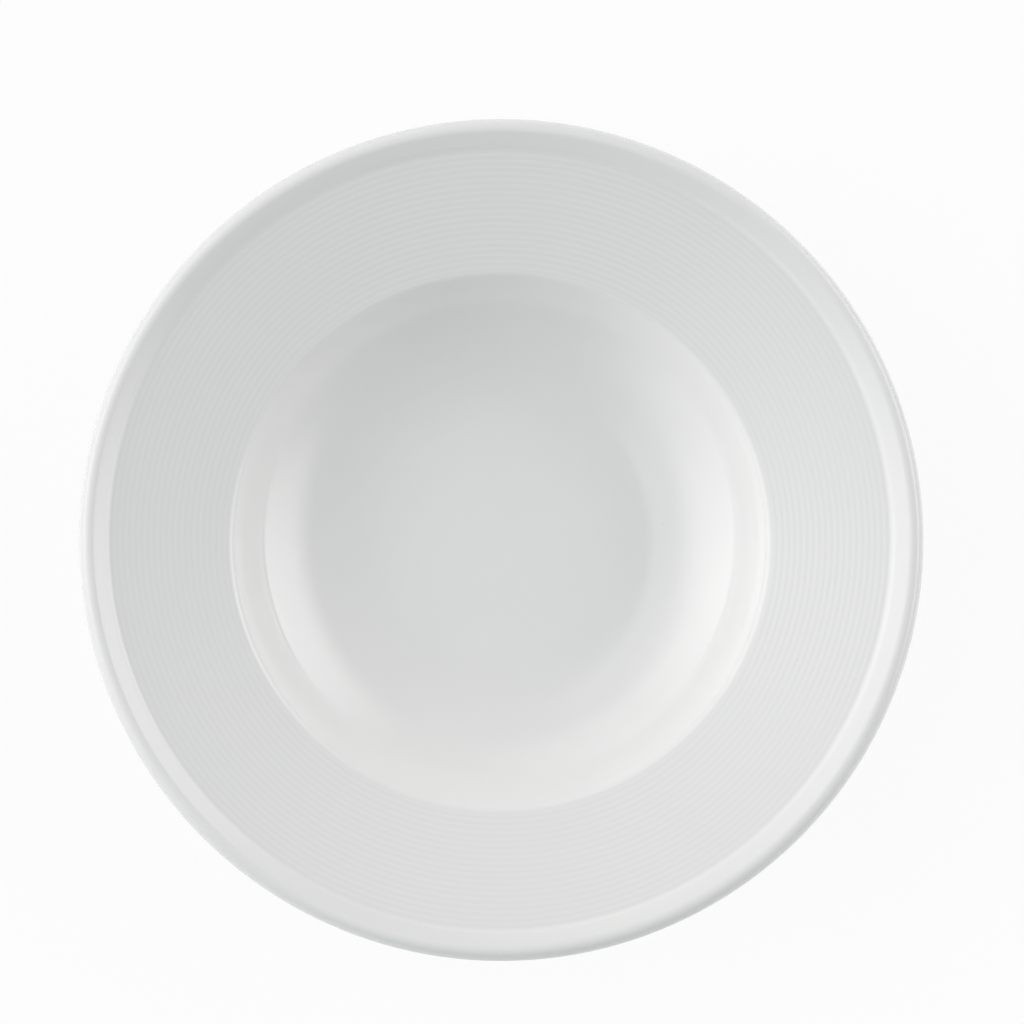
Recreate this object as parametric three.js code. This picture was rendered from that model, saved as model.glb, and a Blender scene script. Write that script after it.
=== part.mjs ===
// Pasta plate: a deep round well inside a wide ribbed rim with a raised lip, on a foot ring.
// Units are millimetres, +Z is up, and the origin is the centre of the standing face of the foot ring.
// The plate is one pressed porcelain body under two separate films of glaze.

import * as THREE from 'three';

// Well
const WELL_MOUTH_RADIUS = 93.8;
const WELL_DEPTH = 27;
const WELL_WALL_RADIUS = 54.5;
const WELL_EDGE_RADIUS = 5.2;

// Rim and its concentric ribs
const RIM_ANGLE = 18;
const RIB_COUNT = 19;
const RIB_PITCH = 2.092;
const RIB_DEPTH_IN_BODY = 0.34;
const RIB_DEPTH_IN_GLAZE = 0.14;

// Raised lip outside the ribs
const LIP_STEP_ANGLE = 40;
const LIP_STEP_FILLET = 7;
const LIP_STEP_ROUND = 3;
const LIP_FACE_ANGLE = 31;
const LIP_FACE_LENGTH = 4.5;
const LIP_ROUND_RADIUS = 3;
const LIP_BREAK_ANGLE = 75;
const LIP_SIDE_LENGTH = 1.6;
const LIP_NOSE_RADIUS = 2;

// Thicknesses, glaze included, and the hair's breadth between the glaze and the body under it
const WALL_THICKNESS = 5;
const BASE_THICKNESS = 5.5;
const GLAZE_THICKNESS = 0.3;
const GLAZE_CLEARANCE = 0.02;

// Underside and foot ring
const KNEE_RADIUS = 9;
const FOOT_RADIUS = 53;
const FOOT_WIDTH = 5;
const FOOT_HEIGHT = 4.5;
const FOOT_FILLET = 2;
const FOOT_EDGE_RADIUS = 0.7;
const FOOT_BARE_BAND = 0.5;
const RECESS_FILLET = 1;

// Facets round the axis, and the most that one facet turns on the wide arcs and on the small rounds
const LATHE_SEGMENTS = 36;
const WIDE_ARC_TURN = 9;
const SMALL_ROUND_TURN = 21;

// Turns, and headings counted in degrees from straight out from the axis
const QUARTER_TURN = 90;
const HALF_TURN = 180;
const OUTWARD = 0;
const UP = QUARTER_TURN;
const DOWN = -QUARTER_TURN;

const sine = (degrees) => Math.sin(THREE.MathUtils.degToRad(degrees));
const cosine = (degrees) => Math.cos(THREE.MathUtils.degToRad(degrees));
const arcSine = (value) => THREE.MathUtils.radToDeg(Math.asin(value));
const arcCosine = (value) => THREE.MathUtils.radToDeg(Math.acos(value));

// A profile is walked with the air on its left. It keeps three lines side by side: the glazed surface,
// the back of the glaze and the body under it.
class Profile {
  constructor(radius, height, heading) {
    this.radius = radius;
    this.height = height;
    this.heading = heading;
    this.surface = [];
    this.glazeBack = [];
    this.body = [];
    this.mark(0, 0);
  }

  // Keeps the present point. The rises lift the surface and the body along the normal, as a rib does.
  mark(surfaceRise, bodyRise) {
    const normal = new THREE.Vector2(-sine(this.heading), cosine(this.heading));
    const offset = (distance) =>
      new THREE.Vector2(this.radius, this.height).addScaledVector(normal, distance);
    this.surface.push(offset(surfaceRise));
    this.glazeBack.push(offset(bodyRise - GLAZE_THICKNESS + GLAZE_CLEARANCE));
    this.body.push(offset(bodyRise - GLAZE_THICKNESS));
  }

  line(length, surfaceRise = 0, bodyRise = 0) {
    this.radius += length * cosine(this.heading);
    this.height += length * sine(this.heading);
    this.mark(surfaceRise, bodyRise);
  }

  // Turns by an angle on an arc, to the left where the angle is positive and to the right where it isn't.
  arc(arcRadius, turn, facetTurn = SMALL_ROUND_TURN) {
    const start = this.heading;
    const side = Math.sign(turn);
    const facets = Math.ceil(Math.abs(turn) / facetTurn);
    const centreRadius = this.radius - side * arcRadius * sine(start);
    const centreHeight = this.height + side * arcRadius * cosine(start);
    for (let facet = 1; facet <= facets; facet += 1) {
      this.heading = start + (turn * facet) / facets;
      this.radius = centreRadius + side * arcRadius * sine(this.heading);
      this.height = centreHeight - side * arcRadius * cosine(this.heading);
      this.mark(0, 0);
    }
  }
}

// Well: a flat floor, a hollow wall on one arc and a rounded edge that turns over into the rim.
const floorHeight = FOOT_HEIGHT + BASE_THICKNESS;
const wallAngle = arcCosine(
  (WELL_WALL_RADIUS + WELL_EDGE_RADIUS * cosine(RIM_ANGLE) - WELL_DEPTH) /
    (WELL_WALL_RADIUS + WELL_EDGE_RADIUS),
);
const floorRadius =
  WELL_MOUTH_RADIUS -
  WELL_WALL_RADIUS * sine(wallAngle) -
  WELL_EDGE_RADIUS * (sine(wallAngle) - sine(RIM_ANGLE));
const wallCentre = new THREE.Vector2(floorRadius, floorHeight + WELL_WALL_RADIUS);
const wallOuterRadius = WELL_WALL_RADIUS + WALL_THICKNESS;

// The glaze stops above the standing face, so that the plate stands on bare body.
const glazeStopHeight = FOOT_EDGE_RADIUS + FOOT_BARE_BAND;

function walkWell(coat) {
  coat.line(floorRadius);
  coat.arc(WELL_WALL_RADIUS, wallAngle, WIDE_ARC_TURN);
  coat.arc(WELL_EDGE_RADIUS, RIM_ANGLE - wallAngle);
}

// Ribs: rings pressed into the body, half levelled by the glaze, from groove to crest to groove.
function walkRibs(coat) {
  const halfPitch = RIB_PITCH / 2 / cosine(RIM_ANGLE);
  for (let rib = 0; rib < RIB_COUNT; rib += 1) {
    coat.line(halfPitch, RIB_DEPTH_IN_GLAZE / 2, RIB_DEPTH_IN_BODY / 2);
    if (rib < RIB_COUNT - 1) {
      coat.line(halfPitch, -RIB_DEPTH_IN_GLAZE / 2, -RIB_DEPTH_IN_BODY / 2);
    }
  }
  coat.line(halfPitch);
}

// Lip: a small step up from the ribs, a narrow face and a rolled edge that ends along the underside.
function walkLip(coat) {
  coat.arc(LIP_STEP_FILLET, LIP_STEP_ANGLE - RIM_ANGLE);
  coat.arc(LIP_STEP_ROUND, LIP_FACE_ANGLE - LIP_STEP_ANGLE);
  coat.line(LIP_FACE_LENGTH);
  coat.arc(LIP_ROUND_RADIUS, -LIP_BREAK_ANGLE - LIP_FACE_ANGLE);
  coat.line(LIP_SIDE_LENGTH);
  coat.arc(LIP_NOSE_RADIUS, LIP_BREAK_ANGLE + RIM_ANGLE - HALF_TURN);
}

// Underside: along the rim, round the knee under the well's edge, down the wall and onto the foot ring.
function walkUnderside(coat) {
  const inward = new THREE.Vector2(-cosine(RIM_ANGLE), -sine(RIM_ANGLE));
  const outOfRim = new THREE.Vector2(sine(RIM_ANGLE), -cosine(RIM_ANGLE));
  const nose = new THREE.Vector2(coat.radius, coat.height);
  const kneeStart = nose.clone().addScaledVector(outOfRim, KNEE_RADIUS).sub(wallCentre);
  const along = kneeStart.dot(inward);
  const kneeReach = wallOuterRadius + KNEE_RADIUS;
  const rimRun = -along - Math.sqrt(along ** 2 - kneeStart.lengthSq() + kneeReach ** 2);
  const knee = kneeStart.addScaledVector(inward, rimRun);
  const kneeAngle = arcSine(knee.x / kneeReach);
  const footReach = wallOuterRadius + FOOT_FILLET;
  const footSpan = FOOT_RADIUS + FOOT_FILLET - floorRadius;
  const footAngle = arcSine(footSpan / footReach);
  coat.line(rimRun);
  coat.arc(KNEE_RADIUS, kneeAngle - RIM_ANGLE);
  coat.arc(wallOuterRadius, footAngle - kneeAngle, WIDE_ARC_TURN);
  coat.arc(FOOT_FILLET, QUARTER_TURN - footAngle);
  coat.line(coat.height - glazeStopHeight);
}

function walkCoat() {
  const coat = new Profile(0, floorHeight, OUTWARD);
  walkWell(coat);
  walkRibs(coat);
  walkLip(coat);
  walkUnderside(coat);
  return coat;
}

// Recess inside the foot ring: up the ring's inner side, round a fillet and in to the axis.
function walkRecess() {
  const recess = new Profile(FOOT_RADIUS - FOOT_WIDTH, glazeStopHeight, UP);
  recess.line(FOOT_HEIGHT - RECESS_FILLET - glazeStopHeight);
  recess.arc(RECESS_FILLET, QUARTER_TURN);
  recess.line(recess.radius);
  return recess;
}

// Standing edge of the foot ring: bare body, with both of its edges rounded. It starts where the coat ends.
function walkStandingEdge() {
  const edge = new Profile(FOOT_RADIUS - GLAZE_THICKNESS, glazeStopHeight, DOWN);
  edge.line(FOOT_BARE_BAND);
  edge.arc(FOOT_EDGE_RADIUS, -QUARTER_TURN);
  edge.line(FOOT_WIDTH - 2 * GLAZE_THICKNESS - 2 * FOOT_EDGE_RADIUS);
  edge.arc(FOOT_EDGE_RADIUS, -QUARTER_TURN);
  return edge.surface.slice(1);
}

const coat = walkCoat();
const recess = walkRecess();

function turned(name, profile, material) {
  const geometry = new THREE.LatheGeometry(profile.toReversed(), LATHE_SEGMENTS);
  geometry.rotateX(Math.PI / 2);
  const mesh = new THREE.Mesh(geometry, new THREE.MeshStandardMaterial(material));
  mesh.name = name;
  return mesh;
}

const plate = new THREE.Group();
plate.add(
  turned('porcelain_body', [...coat.body, ...walkStandingEdge(), ...recess.body], {
    color: 0xe9e6df,
    roughness: 0.75,
    metalness: 0,
  }),
  turned('glaze_coat', [...coat.surface, ...coat.glazeBack.toReversed()], {
    color: 0xf1f2f1,
    roughness: 0.12,
    metalness: 0,
  }),
  turned('base_glaze', [...recess.glazeBack.toReversed(), ...recess.surface], {
    color: 0xf1f2f1,
    roughness: 0.15,
    metalness: 0,
  }),
);

export default plate;
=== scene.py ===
import math

import bpy
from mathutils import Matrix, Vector


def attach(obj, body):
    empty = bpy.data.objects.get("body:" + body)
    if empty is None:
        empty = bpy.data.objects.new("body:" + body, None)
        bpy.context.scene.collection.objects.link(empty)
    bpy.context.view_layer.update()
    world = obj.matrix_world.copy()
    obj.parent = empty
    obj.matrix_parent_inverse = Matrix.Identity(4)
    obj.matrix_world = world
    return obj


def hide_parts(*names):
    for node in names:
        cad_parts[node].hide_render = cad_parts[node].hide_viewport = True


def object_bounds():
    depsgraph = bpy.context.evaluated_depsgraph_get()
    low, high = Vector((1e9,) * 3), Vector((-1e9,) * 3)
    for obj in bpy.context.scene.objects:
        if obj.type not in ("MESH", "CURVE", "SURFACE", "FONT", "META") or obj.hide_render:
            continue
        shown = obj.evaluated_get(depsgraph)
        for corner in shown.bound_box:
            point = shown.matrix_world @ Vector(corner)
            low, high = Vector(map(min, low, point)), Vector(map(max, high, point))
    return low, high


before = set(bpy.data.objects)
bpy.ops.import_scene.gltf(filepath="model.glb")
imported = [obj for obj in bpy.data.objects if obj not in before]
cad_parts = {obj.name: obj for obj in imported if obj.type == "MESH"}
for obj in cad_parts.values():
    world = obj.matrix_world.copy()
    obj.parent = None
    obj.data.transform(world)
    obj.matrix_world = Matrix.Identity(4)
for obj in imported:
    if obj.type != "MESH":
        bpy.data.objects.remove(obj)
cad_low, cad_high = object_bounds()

# A deep round plate with a ribbed rim: a porcelain body under two films of white glaze.
# Sizes are in metres and angles in degrees, in the frame of the CAD model.
MM = 0.001
QUARTER_TURN = 90
HALF_TURN = 180
FULL_TURN = 360

# Well
WELL_MOUTH_RADIUS = 93.8 * MM
WELL_DEPTH = 27 * MM
WELL_WALL_RADIUS = 54.5 * MM
WELL_EDGE_RADIUS = 4 * MM

# Rim and its ribs
RIM_ANGLE = 18
RIB_COUNT = 19
RIB_PITCH = 2.092 * MM
RIB_DEPTH_IN_BODY = 0.34 * MM
RIB_DEPTH_IN_GLAZE = 0.042 * MM

# Lip
LIP_STEP_ANGLE = 40
LIP_STEP_FILLET = 5 * MM
LIP_STEP_ROUND = 6 * MM
LIP_FACE_ANGLE = 29.5
LIP_FACE_LENGTH = 4.18 * MM
LIP_ROUND_RADIUS = 3.3 * MM
LIP_BREAK_ANGLE = 75
LIP_SIDE_LENGTH = 1.6 * MM
LIP_NOSE_RADIUS = 2 * MM

# Thicknesses
WALL_THICKNESS = 5 * MM
BASE_THICKNESS = 5.5 * MM
GLAZE_THICKNESS = 0.3 * MM
GLAZE_CLEARANCE = 0.02 * MM

# Underside and foot ring
KNEE_RADIUS = 9 * MM
FOOT_RADIUS = 53 * MM
FOOT_WIDTH = 5 * MM
FOOT_HEIGHT = 4.5 * MM
FOOT_FILLET = 2 * MM
FOOT_EDGE_RADIUS = 0.7 * MM
FOOT_BARE_BAND = 0.5 * MM
RECESS_FILLET = 1 * MM

# Warp of the fired clay at the lip, in height, as waves round the plate: (waves, height, phase)
WARP_WAVES = ((2, 0.22 * MM, 40), (3, 0.10 * MM, 110))

# The lip sits a little to the right of the ribs. The shift comes in over the blend, outside the ribs.
LIP_DRIFT = 0.55 * MM
LIP_DRIFT_BLEND = 5 * MM

# Fineness of the meshes
SEGMENTS = 180
RIB_POINTS = 6
WIDE_ARC_TURN = 2.5
SMALL_ROUND_TURN = 5
BEAD_TURNS = (30, 60, 90, 120, 150)
FLAT_STEP = 6 * MM

# How thick the glaze lies, with painted shade and light on top: 0 is thin and lightest, as on an edge, and
# 1 is pooled and darkest, as in a groove.
# The values also paint shade in grooves, in hollows and on the rim, and paint light on the well's wall and
# on the lip step.
PLAIN_POOL_AND_SHADE = 0.6
EDGE_POOL_AND_PAINTED_LIGHT = 0.0
HOLLOW_POOL_AND_SHADE = 0.9
RIB_POOL_AND_SHADE = 0.8
RIB_POOL_AND_SHADE_SWING = 0.17
LIP_STEP_PAINTED_LIGHT = 0.15

# Glaze: lighter where thin on edges, darker where pooled in hollows, which is partly painted shade, faintly
# mottled, with a few tiny flecks
THIN_AND_LIT_GLAZE = (0.883, 0.876, 0.870)
POOLED_SHADED_GLAZE = (0.795, 0.794, 0.789)
MOTTLE_COLOUR = (0.792, 0.796, 0.792)
MOTTLE_SHARE = 0.25
MOTTLE_SCALE = 28
MOTTLE_DETAIL = 3
GLAZE_ROUGHNESS = (0.03, 0.07)
POLISH_SCALE = 45
POLISH_DETAIL = 3
GLAZE_IOR = 1.55
RIPPLE_SCALE = 120
RIPPLE_DETAIL = 1
RIPPLE_HEIGHT = 0.008 * MM
FLECK_COLOUR = (0.42, 0.40, 0.37)
FLECK_SCALE = 70
FLECK_RADIUS = 0.25 * MM
FLECK_SHARE = 0.5

# Fired porcelain without glaze
BARE_LIGHT = (0.78, 0.76, 0.71)
BARE_DARK = (0.66, 0.64, 0.59)
BARE_SCUFF = (0.52, 0.50, 0.47)
BARE_ROUGHNESS = (0.62, 0.82)
GRAIN_SCALE = 2500
GRAIN_DETAIL = 4
GRAIN_HEIGHT = 0.04 * MM
SCUFF_SCALE = 160
SCUFF_DETAIL = 5
SCUFF_RANGE = (0.52, 0.68)

# The range in which most values of a noise texture lie
NOISE_RANGE = (0.3, 0.7)

# Places of the colour sockets among the inputs and outputs of a mix node
MIX_FIRST = 6
MIX_SECOND = 7
MIX_RESULT = 2

# Floor, a hair below the plate, with a low backdrop far off all round it
FLOOR_RADIUS = 16
FLOOR_SEGMENTS = 96
FLOOR_DROP = 0.05 * MM
BACKDROP_HEIGHT = 1.5
FLOOR_COLOUR = (0.85, 0.85, 0.85)
FLOOR_ROUGHNESS = 0.9
FLOOR_WHITE_SHARE = 0.92

# Camera: almost straight down, from the front of the plate, with the picture's width as it is at the aim
CAMERA_TILT = 4.5
CAMERA_DISTANCE = 2.4
CAMERA_REACH = 200
SENSOR_WIDTH = 36
PICTURE_WIDTH = 351.5 * MM
AIM = Vector((4.22 * MM, 8.75 * MM, 52 * MM))

# Light: softboxes round the plate, each given by the part of the sky that it fills, in degrees.
# Azimuth 0 is the right and 90 the back. A brightness of 1 is white.
# The fades are the shares of a softbox over which it dims towards an end, its foot or its top.
LAMP_DISTANCE = 6
END_FADE = 0.5
WARM = (1.0, 0.93, 0.945)
WHITE = (1.0, 0.985, 0.99)
SKY_COLOUR = (0.89, 1.0, 0.985)
SKY_BRIGHTNESS = 0.35
# name, azimuth, half width, lowest, highest, foot fade, top fade, brightness, colour
SOFTBOXES = (
    ("key", 165, 40, 9.8, 60, 0.03, 0.5, 1.61, WARM),
    ("key_front", 195, 50, 3, 60, 0.1, 0.5, 1.2, WHITE),
    ("key_high", 170, 38, 30, 79, 0.5, 0.15, 0.91, WHITE),
    ("fill", 17, 48, 9.2, 52, 0.02, 0.5, 2.85, WARM),
    ("back", 130, 50, 5, 45, 0.1, 0.3, 0.86, WARM),
)


def sine(degrees):
    return math.sin(math.radians(degrees))


def cosine(degrees):
    return math.cos(math.radians(degrees))


# Sizes that follow from the ones above
floor_height = FOOT_HEIGHT + BASE_THICKNESS
wall_angle = math.degrees(
    math.acos(
        (WELL_WALL_RADIUS + WELL_EDGE_RADIUS * cosine(RIM_ANGLE) - WELL_DEPTH)
        / (WELL_WALL_RADIUS + WELL_EDGE_RADIUS)
    )
)
floor_radius = (
    WELL_MOUTH_RADIUS
    - WELL_WALL_RADIUS * sine(wall_angle)
    - WELL_EDGE_RADIUS * (sine(wall_angle) - sine(RIM_ANGLE))
)
wall_outer_radius = WELL_WALL_RADIUS + WALL_THICKNESS
glaze_stop_height = FOOT_EDGE_RADIUS + FOOT_BARE_BAND
ribs_end = WELL_MOUTH_RADIUS + RIB_COUNT * RIB_PITCH
rim_radius = (cad_high.x - cad_low.x) / 2


class Profile:
    """Half of a turned outline, walked with the air on its left, with the glaze and the body under it."""

    def __init__(self, radius, height, heading):
        self.radius = radius
        self.height = height
        self.heading = heading
        self.pool_and_shade = PLAIN_POOL_AND_SHADE
        self.surface = []
        self.glaze_back = []
        self.body = []
        self.mark()

    def mark(self, surface_rise=0.0, body_rise=0.0):
        """Keeps the present point as (radius, height, pooled glaze and painted shade), on the surface and
        on the layers under it.
        """
        out, up = -sine(self.heading), cosine(self.heading)
        layers = (
            (self.surface, surface_rise),
            (self.glaze_back, body_rise - GLAZE_THICKNESS + GLAZE_CLEARANCE),
            (self.body, body_rise - GLAZE_THICKNESS),
        )
        for points, rise in layers:
            points.append((self.radius + out * rise, self.height + up * rise, self.pool_and_shade))

    def step(self, length):
        """Moves along the present heading, without keeping a point."""
        self.radius += length * cosine(self.heading)
        self.height += length * sine(self.heading)

    def line(self, length):
        """Walks straight on."""
        steps = math.ceil(length / FLAT_STEP)
        for _ in range(steps):
            self.step(length / steps)
            self.mark()

    def arc(self, arc_radius, turn, pool_and_shade=PLAIN_POOL_AND_SHADE, facet_turn=SMALL_ROUND_TURN):
        """Turns on an arc. The glaze thins or pools along it, and its painted shade or light changes with
        it, to the given value at its end.
        """
        start = self.heading
        start_pool_and_shade = self.pool_and_shade
        side = math.copysign(1, turn)
        facets = math.ceil(abs(turn) / facet_turn)
        centre_radius = self.radius - side * arc_radius * sine(start)
        centre_height = self.height + side * arc_radius * cosine(start)
        for facet in range(1, facets + 1):
            share = facet / facets
            self.heading = start + turn * share
            self.radius = centre_radius + side * arc_radius * sine(self.heading)
            self.height = centre_height - side * arc_radius * cosine(self.heading)
            self.pool_and_shade = start_pool_and_shade + (pool_and_shade - start_pool_and_shade) * share
            self.mark()

    def ribs(self):
        """Rounded ribs along the present heading. The glaze almost levels them and pools in the grooves,
        which also get painted shade.
        """
        points = RIB_COUNT * RIB_POINTS
        for point in range(1, points + 1):
            self.step(RIB_PITCH / RIB_POINTS / cosine(self.heading))
            bump = (1 - math.cos(2 * math.pi * point / RIB_POINTS)) / 2
            # Painted shade, with pooled glaze, in the grooves; the whole rim is painted a little darker
            # too.
            self.pool_and_shade = RIB_POOL_AND_SHADE + RIB_POOL_AND_SHADE_SWING * (1 - 2 * bump)
            self.mark(
                surface_rise=RIB_DEPTH_IN_GLAZE * bump,
                body_rise=RIB_DEPTH_IN_BODY * (bump - 0.5) + RIB_DEPTH_IN_GLAZE / 2,
            )


def walk_coat():
    """The glazed outline from the middle of the well, over the lip and down to the foot ring."""
    coat = Profile(0, floor_height, 0)
    coat.line(floor_radius)
    # Painted light: the glaze gets lighter up the well's wall, with thinner glaze at the edge.
    coat.arc(WELL_WALL_RADIUS, wall_angle, pool_and_shade=EDGE_POOL_AND_PAINTED_LIGHT, facet_turn=WIDE_ARC_TURN)
    coat.arc(WELL_EDGE_RADIUS, RIM_ANGLE - wall_angle)
    coat.ribs()
    # Painted highlight: a light line along the lip step.
    coat.arc(LIP_STEP_FILLET, LIP_STEP_ANGLE - RIM_ANGLE, pool_and_shade=LIP_STEP_PAINTED_LIGHT)
    coat.arc(LIP_STEP_ROUND, LIP_FACE_ANGLE - LIP_STEP_ANGLE)
    coat.line(LIP_FACE_LENGTH)
    coat.arc(LIP_ROUND_RADIUS, -LIP_BREAK_ANGLE - LIP_FACE_ANGLE)
    coat.line(LIP_SIDE_LENGTH)
    coat.arc(LIP_NOSE_RADIUS, LIP_BREAK_ANGLE + RIM_ANGLE - HALF_TURN)
    walk_underside(coat)
    return coat


def walk_underside(coat):
    """Along the rim, round the knee under the well's edge, down the wall and onto the foot ring."""
    wall_centre = Vector((floor_radius, floor_height + WELL_WALL_RADIUS))
    inward = Vector((-cosine(RIM_ANGLE), -sine(RIM_ANGLE)))
    out_of_rim = Vector((sine(RIM_ANGLE), -cosine(RIM_ANGLE)))
    knee_reach = wall_outer_radius + KNEE_RADIUS
    knee_start = Vector((coat.radius, coat.height)) + out_of_rim * KNEE_RADIUS - wall_centre
    along = knee_start.dot(inward)
    rim_run = -along - math.sqrt(along**2 - knee_start.length_squared + knee_reach**2)
    knee = knee_start + inward * rim_run
    knee_angle = math.degrees(math.asin(knee.x / knee_reach))
    foot_span = FOOT_RADIUS + FOOT_FILLET - floor_radius
    foot_angle = math.degrees(math.asin(foot_span / (wall_outer_radius + FOOT_FILLET)))
    coat.line(rim_run)
    # Painted shade, with pooled glaze, in the knee under the rim and in the foot's fillet.
    coat.arc(KNEE_RADIUS, knee_angle - RIM_ANGLE, pool_and_shade=HOLLOW_POOL_AND_SHADE)
    coat.arc(wall_outer_radius, foot_angle - knee_angle, facet_turn=WIDE_ARC_TURN)
    coat.arc(FOOT_FILLET, QUARTER_TURN - foot_angle, pool_and_shade=HOLLOW_POOL_AND_SHADE)
    coat.line(coat.height - glaze_stop_height)


def walk_recess():
    """The glazed outline inside the foot ring, from the ring's inner side to the axis."""
    recess = Profile(FOOT_RADIUS - FOOT_WIDTH, glaze_stop_height, QUARTER_TURN)
    recess.line(FOOT_HEIGHT - RECESS_FILLET - glaze_stop_height)
    # Painted shade, with pooled glaze, in the recess's fillet.
    recess.arc(RECESS_FILLET, QUARTER_TURN, pool_and_shade=HOLLOW_POOL_AND_SHADE)
    recess.line(recess.radius)
    return recess


def walk_standing_edge():
    """The bare edge between the two films of glaze, without its first point, which ends the coat's."""
    edge = Profile(FOOT_RADIUS - GLAZE_THICKNESS, glaze_stop_height, -QUARTER_TURN)
    edge.line(FOOT_BARE_BAND)
    edge.arc(FOOT_EDGE_RADIUS, -QUARTER_TURN)
    edge.line(FOOT_WIDTH - 2 * GLAZE_THICKNESS - 2 * FOOT_EDGE_RADIUS)
    edge.arc(FOOT_EDGE_RADIUS, -QUARTER_TURN)
    return edge.surface[1:]


def bead(start, end):
    """The rounded end of a film of glaze, from one side of the film to the other."""
    first, last = Vector(start[:2]), Vector(end[:2])
    middle = (first + last) / 2
    half = (first - last) / 2
    bulge = Vector((0, -half.length))
    points = [middle + half * cosine(turn) + bulge * sine(turn) for turn in BEAD_TURNS]
    return [(point.x, point.y, PLAIN_POOL_AND_SHADE) for point in points]


def warp(radius, angle):
    """How far the fired plate lifts at a place, most at the lip and nothing at the foot."""
    share = max(0.0, (radius - FOOT_RADIUS) / (rim_radius - FOOT_RADIUS)) ** 2
    waves = (height * cosine(count * angle + phase) for count, height, phase in WARP_WAVES)
    return share * sum(waves)


def drift(radius):
    """How far a place lies to the right of where it would be if the lip were centred on the ribs."""
    share = min(max((radius - ribs_end) / LIP_DRIFT_BLEND, 0.0), 1.0)
    return LIP_DRIFT * share * share * (3 - 2 * share)


def add_object(name, data):
    """Puts a mesh, a camera or a lamp into the scene."""
    holder = bpy.data.objects.new(name, data)
    bpy.context.scene.collection.objects.link(holder)
    return holder


def faces_between_rings(ring_count, segments):
    """Faces with four corners, from each ring of points to the next."""
    faces = []
    for ring in range(ring_count - 1):
        for segment in range(segments):
            here = ring * segments + segment
            beside = ring * segments + (segment + 1) % segments
            faces.append((here, here + segments, beside + segments, beside))
    return faces


def turned(name, outline):
    """A closed mesh turned from an outline that starts and ends on the axis."""
    rings = outline[1:-1]
    vertices = []
    pool_and_shade_values = []
    for radius, height, pool_and_shade in rings:
        for segment in range(SEGMENTS):
            angle = FULL_TURN * segment / SEGMENTS
            across = radius * cosine(angle) + drift(radius)
            vertices.append((across, radius * sine(angle), height + warp(radius, angle)))
            pool_and_shade_values.append(pool_and_shade)
    faces = faces_between_rings(len(rings), SEGMENTS)
    for end, ring in ((outline[0], 0), (outline[-1], len(rings) - 1)):
        pole = len(vertices)
        vertices.append((0, 0, end[1]))
        pool_and_shade_values.append(end[2])
        for segment in range(SEGMENTS):
            here = ring * SEGMENTS + segment
            beside = ring * SEGMENTS + (segment + 1) % SEGMENTS
            faces.append((pole, here, beside) if ring == 0 else (pole, beside, here))
    mesh = bpy.data.meshes.new(name)
    mesh.from_pydata(vertices, [], faces)
    mesh.polygons.foreach_set("use_smooth", [True] * len(faces))
    # This value sets the glaze's pooled tone together with its painted shade and painted light.
    mesh.attributes.new("glaze_pool_and_shade", "FLOAT", "POINT").data.foreach_set("value", pool_and_shade_values)
    mesh.update()
    return add_object(name, mesh)


def floor_mesh():
    """A round floor with a wall at its edge, both facing the plate."""
    vertices = []
    for height in (-FLOOR_DROP, BACKDROP_HEIGHT):
        for segment in range(FLOOR_SEGMENTS):
            angle = FULL_TURN * segment / FLOOR_SEGMENTS
            vertices.append((FLOOR_RADIUS * cosine(angle), FLOOR_RADIUS * sine(angle), height))
    faces = [tuple(range(FLOOR_SEGMENTS)), *faces_between_rings(2, FLOOR_SEGMENTS)]
    mesh = bpy.data.meshes.new("floor")
    mesh.from_pydata(vertices, [], faces)
    mesh.update()
    return mesh


class Nodes:
    """A node tree, with short calls to add and join nodes."""

    def __init__(self, tree):
        self.tree = tree

    def add(self, kind, **settings):
        node = self.tree.nodes.new(kind)
        for name, value in settings.items():
            setattr(node, name, value)
        return node

    def join(self, output, target):
        self.tree.links.new(output, target)

    def maths(self, operation, *values):
        """Works on outputs of other nodes and on plain numbers."""
        node = self.add("ShaderNodeMath", operation=operation)
        for value, socket in zip(values, node.inputs):
            if isinstance(value, (int, float)):
                socket.default_value = value
            else:
                self.join(value, socket)
        return node.outputs[0]

    def texture(self, kind, scale):
        """A texture in the object's own metres."""
        node = self.add(kind)
        node.inputs["Scale"].default_value = scale
        self.join(self.add("ShaderNodeTexCoord").outputs["Object"], node.inputs["Vector"])
        return node

    def noise(self, scale, detail):
        node = self.texture("ShaderNodeTexNoise", scale)
        node.inputs["Detail"].default_value = detail
        return node.outputs["Fac"]

    def spread(self, value, low, high, source=(0.0, 1.0), shape="LINEAR"):
        """Maps a value from its source range onto the range from low to high."""
        node = self.add("ShaderNodeMapRange", interpolation_type=shape)
        node.inputs["From Min"].default_value = source[0]
        node.inputs["From Max"].default_value = source[1]
        node.inputs["To Min"].default_value = low
        node.inputs["To Max"].default_value = high
        self.join(value, node.inputs["Value"])
        return node.outputs["Result"]

    def mix(self, share, first, second):
        """Mixes two colours, each a colour or another node's output."""
        node = self.add("ShaderNodeMix", data_type="RGBA")
        self.join(share, node.inputs["Factor"])
        for value, place in ((first, MIX_FIRST), (second, MIX_SECOND)):
            if isinstance(value, tuple):
                node.inputs[place].default_value = (*value, 1.0)
            else:
                self.join(value, node.inputs[place])
        return node.outputs[MIX_RESULT]

    def blend(self, share, first, second):
        """Mixes two shaders."""
        node = self.add("ShaderNodeMixShader")
        for output, socket in zip((share, first, second), node.inputs):
            self.join(output, socket)
        return node.outputs[0]

    def bump(self, height, distance):
        node = self.add("ShaderNodeBump")
        node.inputs["Distance"].default_value = distance
        self.join(height, node.inputs["Height"])
        return node.outputs["Normal"]


def new_material(name):
    """A new material, its nodes and its shader."""
    material = bpy.data.materials.new(name)
    material.use_nodes = True
    return material, Nodes(material.node_tree), material.node_tree.nodes["Principled BSDF"]


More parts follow.
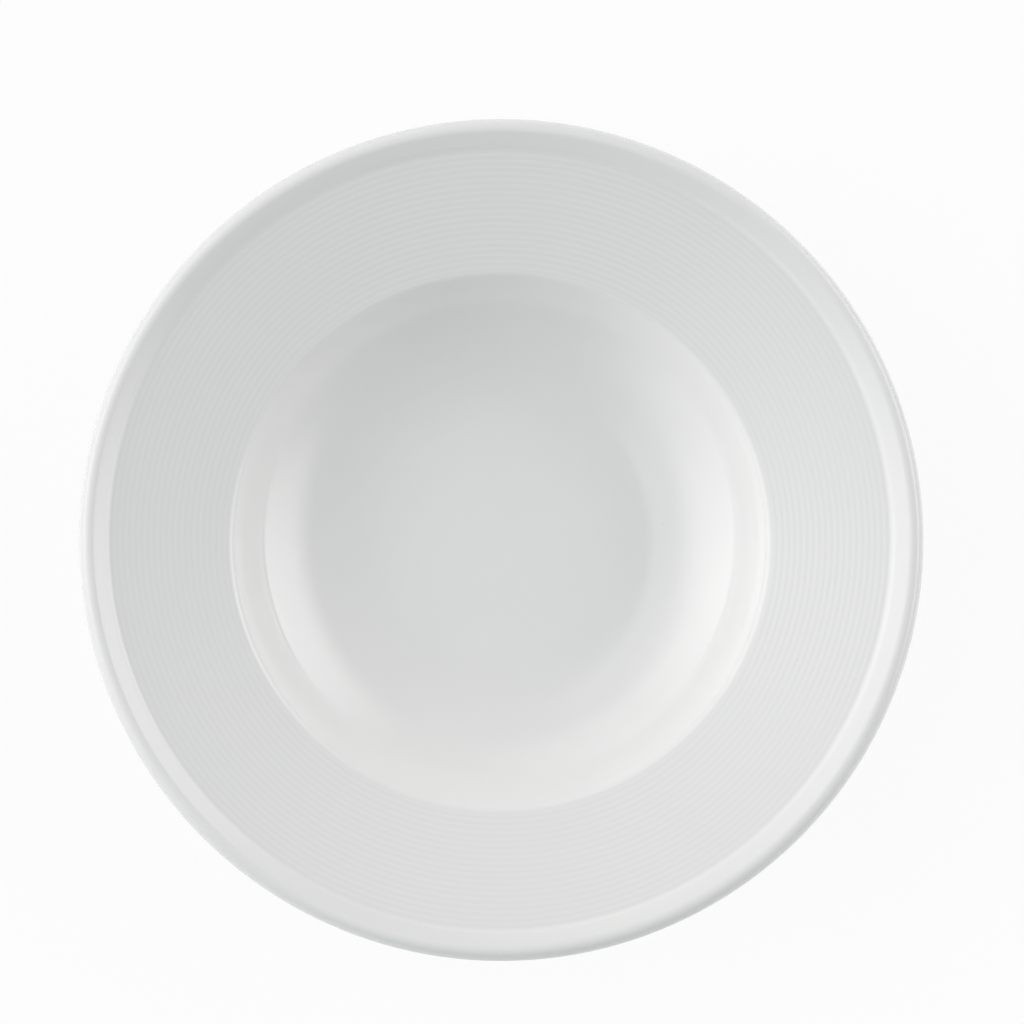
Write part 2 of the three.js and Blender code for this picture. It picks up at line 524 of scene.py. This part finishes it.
def glaze_material():
    """Glossy white glaze: cooler and darker where it pools, which also paints shade in grooves and hollows
    and light on the well's wall and lip step, faintly mottled and rippled, with a few flecks.
    """
    material, nodes, shader = new_material("white_glaze")
    pool_and_shade = nodes.add("ShaderNodeAttribute", attribute_name="glaze_pool_and_shade").outputs["Fac"]
    mottle = nodes.spread(nodes.noise(MOTTLE_SCALE, MOTTLE_DETAIL), 0.0, MOTTLE_SHARE, NOISE_RANGE)
    # Pooled glaze and painted shade darken the tone; painted light lightens it on the well's wall and the
    # lip step.
    tone = nodes.mix(mottle, nodes.mix(pool_and_shade, THIN_AND_LIT_GLAZE, POOLED_SHADED_GLAZE), MOTTLE_COLOUR)
    fleck_distance = nodes.texture("ShaderNodeTexVoronoi", FLECK_SCALE).outputs["Distance"]
    fleck_edge = FLECK_RADIUS * FLECK_SCALE
    fleck = nodes.spread(fleck_distance, FLECK_SHARE, 0.0, (fleck_edge / 2, fleck_edge))
    nodes.join(nodes.mix(fleck, tone, FLECK_COLOUR), shader.inputs["Base Color"])
    polish = nodes.spread(nodes.noise(POLISH_SCALE, POLISH_DETAIL), *GLAZE_ROUGHNESS, NOISE_RANGE)
    nodes.join(polish, shader.inputs["Roughness"])
    shader.inputs["IOR"].default_value = GLAZE_IOR
    ripple = nodes.bump(nodes.noise(RIPPLE_SCALE, RIPPLE_DETAIL), RIPPLE_HEIGHT)
    nodes.join(ripple, shader.inputs["Normal"])
    return material


def bare_material():
    """Fired porcelain without glaze: matt, warm, fine-grained and a little scuffed."""
    material, nodes, shader = new_material("bare_porcelain")
    grain = nodes.noise(GRAIN_SCALE, GRAIN_DETAIL)
    scuff = nodes.spread(nodes.noise(SCUFF_SCALE, SCUFF_DETAIL), 0.0, 1.0, SCUFF_RANGE)
    clay = nodes.mix(grain, BARE_LIGHT, BARE_DARK)
    nodes.join(nodes.mix(scuff, clay, BARE_SCUFF), shader.inputs["Base Color"])
    nodes.join(nodes.spread(grain, *BARE_ROUGHNESS), shader.inputs["Roughness"])
    nodes.join(nodes.bump(grain, GRAIN_HEIGHT), shader.inputs["Normal"])
    return material


def floor_material():
    """Pale floor that looks white, keeps the plate's shadow and lets the eye through from below."""
    material, nodes, shader = new_material("floor")
    shader.inputs["Base Color"].default_value = (*FLOOR_COLOUR, 1)
    shader.inputs["Roughness"].default_value = FLOOR_ROUGHNESS
    shader.inputs["Specular IOR Level"].default_value = 0.0
    path = nodes.add("ShaderNodeLightPath")
    seen = path.outputs["Is Camera Ray"]
    for ray in ("Is Glossy Ray", "Is Transmission Ray"):
        seen = nodes.maths("MAXIMUM", seen, path.outputs[ray])
    share = nodes.maths("MULTIPLY", seen, FLOOR_WHITE_SHARE)
    white = nodes.add("ShaderNodeEmission").outputs[0]
    pale = nodes.blend(share, shader.outputs[0], white)
    below = nodes.add("ShaderNodeNewGeometry").outputs["Backfacing"]
    clear = nodes.add("ShaderNodeBsdfTransparent").outputs[0]
    output = nodes.tree.nodes["Material Output"]
    nodes.join(nodes.blend(below, pale, clear), output.inputs["Surface"])
    return material


def soften(lamp, foot_fade, top_fade):
    """Dims a softbox towards its ends, its foot and its top."""
    lamp.use_nodes = True
    nodes = Nodes(lamp.node_tree)
    place = nodes.add("ShaderNodeSeparateXYZ")
    nodes.join(nodes.add("ShaderNodeNewGeometry").outputs["Parametric"], place.inputs[0])
    fades = (
        (place.outputs["X"], END_FADE, END_FADE),
        (place.outputs["Y"], foot_fade, top_fade),
    )
    strength = 1.0
    for share, first_fade, last_fade in fades:
        rise = nodes.spread(share, 0.0, 1.0, (0.0, first_fade), "SMOOTHSTEP")
        fall = nodes.spread(share, 1.0, 0.0, (1 - last_fade, 1.0), "SMOOTHSTEP")
        strength = nodes.maths("MULTIPLY", strength, nodes.maths("MULTIPLY", rise, fall))
    nodes.join(strength, nodes.tree.nodes["Emission"].inputs["Strength"])


def softbox(name, azimuth, half_width, lowest, highest, foot_fade, top_fade, brightness, colour):
    """An area lamp that faces the plate. Its power is its brightness times pi and its area."""
    elevation = (lowest + highest) / 2
    lamp = bpy.data.lights.new(name, "AREA")
    lamp.shape = "RECTANGLE"
    lamp.size = 2 * LAMP_DISTANCE * math.tan(math.radians(half_width))
    lamp.size_y = 2 * LAMP_DISTANCE * math.tan(math.radians((highest - lowest) / 2))
    lamp.energy = brightness * math.pi * lamp.size * lamp.size_y
    lamp.color = colour
    soften(lamp, foot_fade, top_fade)
    direction = Vector(
        (
            cosine(elevation) * cosine(azimuth),
            cosine(elevation) * sine(azimuth),
            sine(elevation),
        )
    )
    holder = add_object(name, lamp)
    holder.location = direction * LAMP_DISTANCE
    holder.rotation_euler = direction.to_track_quat("Z", "Y").to_euler()
    holder.visible_camera = False


# Pieces
coat = walk_coat()
recess = walk_recess()
coat_end = bead(coat.surface[-1], coat.glaze_back[-1])
recess_end = bead(recess.glaze_back[0], recess.surface[0])
outlines = {
    "plate_glaze": coat.surface + coat_end + coat.glaze_back[::-1],
    "plate_base_glaze": recess.glaze_back[::-1] + recess_end + recess.surface,
    "plate_body": coat.body + walk_standing_edge() + recess.body,
}
glaze = glaze_material()
dressing = (
    ("plate_glaze", "glaze_coat", "white_glaze", glaze),
    ("plate_base_glaze", "base_glaze", "white_glaze", glaze),
    ("plate_body", "porcelain_body", "bare_porcelain", bare_material()),
)
for name, node, slot, material in dressing:
    piece = turned(name, outlines[name])
    piece.data.materials.append(material)
    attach(piece, "root")
    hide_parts(node)

# Floor and backdrop
floor = add_object("floor", floor_mesh())
floor.data.materials.append(floor_material())

# Camera
camera = add_object("camera", bpy.data.cameras.new("camera"))
camera.data.sensor_width = SENSOR_WIDTH
camera.data.lens = SENSOR_WIDTH * CAMERA_DISTANCE / PICTURE_WIDTH
camera.data.clip_end = CAMERA_REACH
back = Vector((0, -sine(CAMERA_TILT), cosine(CAMERA_TILT)))
camera.location = AIM + back * CAMERA_DISTANCE
camera.rotation_euler = back.to_track_quat("Z", "Y").to_euler()
bpy.context.scene.camera = camera

# Softboxes, with an even dim sky round them
for box in SOFTBOXES:
    softbox(*box)
world = bpy.data.worlds.new("studio")
world.use_nodes = True
sky = world.node_tree.nodes["Background"]
sky.inputs["Color"].default_value = (*SKY_COLOUR, 1)
sky.inputs["Strength"].default_value = SKY_BRIGHTNESS
bpy.context.scene.world = world
bpy.context.scene.view_settings.view_transform = "Standard"
